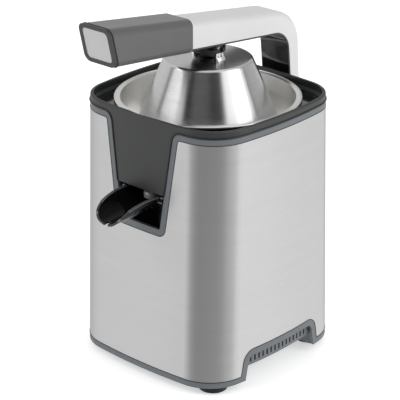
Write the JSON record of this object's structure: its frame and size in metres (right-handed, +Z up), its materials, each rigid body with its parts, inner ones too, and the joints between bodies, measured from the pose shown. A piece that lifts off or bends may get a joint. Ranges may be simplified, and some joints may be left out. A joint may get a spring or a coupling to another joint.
{
  "type": "lever citrus press",
  "caption": "Electric citrus press: a hinged lever arm presses a steel dome over a spinning reamer in a steel-clad square housing with a tilting pouring spout.",
  "frame": {"origin": "on the surface that the feet stand on, under the middle of the whole machine's bounding box", "axes": "+Z up, -Y towards the handle and the pouring spout, +X to the machine's left as it faces you"},
  "size_m": [0.1844, 0.261, 0.3414],
  "materials": {
    "brushed_steel": "fine horizontal brushing, satin",
    "satin_steel": "satin, lightly polished",
    "dome_steel": "circular brushing",
    "plain_steel": "machined",
    "trim_grey": "smooth satin grey plastic",
    "collar_dark": "fine matte texture",
    "black_gloss": "polished black",
    "black_matte": "matte black",
    "rubber_black": "soft matte rubber",
    "handle_dark": "satin dark grey",
    "arm_silver": "satin silver paint",
    "plate_silver": "light grey satin plate",
    "gear_nylon": "natural nylon",
    "bush_bronze": "sintered bronze",
    "motor_iron": "laminated iron",
    "copper_bars": "copper"
  },
  "bodies": {
    "housing": {"steel_shell": "brushed_steel", "upper_trim": "trim_grey", "top_collar": "collar_dark", "inner_deck": "black_gloss", "base_frame": "trim_grey", "bottom_plate": "black_matte", "bottom_plate_screws": "plain_steel", "foot_front_right": "rubber_black", "foot_front_left": "rubber_black", "foot_rear_right": "rubber_black", "foot_rear_left": "rubber_black", "tie_screws": "plain_steel", "cord_inlet": "rubber_black", "terminal_block": "black_matte", "juice_bowl": "satin_steel", "strainer": "satin_steel", "juice_collector": "black_matte", "shaft_seal": "rubber_black", "spout_niche": "black_gloss", "spout_pins": "black_matte", "gearbox_base": "black_matte", "gearbox_cover": "black_matte", "cover_screws": "plain_steel", "leg_screws": "plain_steel", "shaft_bushes": "bush_bronze", "idler_axle": "plain_steel", "switch_body": "black_matte", "motor_can": "plain_steel", "motor_screws": "plain_steel", "stator": "motor_iron", "motor_bearings": "bush_bronze", "hinge_pin": "plain_steel", "hinge_bracket": "collar_dark", "bracket_plate": "plain_steel", "bracket_screws": "plain_steel", "arm_stops": "rubber_black"},
    "press_ring": {"press_ring": "gear_nylon", "press_spring": "plain_steel"},
    "cone_drive": {"drive_shaft": "plain_steel", "output_gear": "gear_nylon", "reamer_cone": "black_matte"},
    "idler": {"idler_gear": "gear_nylon"},
    "rotor": {"rotor_core": "motor_iron", "commutator": "copper_bars", "cooling_fan": "black_matte", "motor_shaft": "plain_steel", "motor_pinion": "bush_bronze"},
    "switch_button": {"switch_button": "gear_nylon"},
    "spout": {"spout": "black_gloss"},
    "arm": {"arm_shell": "arm_silver", "arm_liner": "black_gloss", "arm_core": "plain_steel", "hinge_bushes": "bush_bronze", "handle_sleeve": "handle_dark", "handle_end_frame": "collar_dark", "handle_insert": "plate_silver"},
    "presser": {"dome": "dome_steel", "dome_hub": "black_matte", "dome_screw": "plain_steel", "dome_pin": "plain_steel"}
  },
  "joints": [
    {"name": "arm_lift", "type": "hinge", "parent": "housing", "child": "arm", "pos_m": [0, 0.11454, 0.214], "axis": [-1, 0, 0], "range_deg": [0, 75]},
    {"name": "dome_tilt", "type": "hinge", "parent": "arm", "child": "presser", "pos_m": [0, 0.01054, 0.29], "axis": [1, 0, 0], "range_deg": [-6, 6]},
    {"name": "cone_press", "type": "slide", "parent": "housing", "child": "press_ring", "axis": [0, 0, -1], "range_m": [0, 0.0025], "stiffness_N_per_m": 3000, "springref_m": -0.0025, "deforming": ["press_spring"]},
    {"name": "cone_spin", "type": "hinge", "parent": "press_ring", "child": "cone_drive", "pos_m": [0, 0.01054, 0.19], "axis": [0, 0, 1], "continuous": true},
    {"name": "idler_spin", "type": "hinge", "parent": "housing", "child": "idler", "pos_m": [0, 0.05429, 0.15], "axis": [0, 0, 1], "continuous": true},
    {"name": "motor_spin", "type": "hinge", "parent": "housing", "child": "rotor", "pos_m": [0, 0.02429, 0.1], "axis": [0, 0, 1], "continuous": true},
    {"name": "switch_press", "type": "slide", "parent": "housing", "child": "switch_button", "axis": [0, 0, -1], "range_m": [0, 0.0025]},
    {"name": "spout_tilt", "type": "hinge", "parent": "housing", "child": "spout", "pos_m": [0, -0.07096, 0.174], "axis": [-1, 0, 0], "range_deg": [0, 22]}
  ],
  "couplings": [
    {"joint": "idler_spin", "follows": "motor_spin", "ratio": -0.25},
    {"joint": "cone_spin", "follows": "motor_spin", "ratio": 0.0625},
    {"joint": "switch_press", "follows": "cone_press", "ratio": 1}
  ]
}
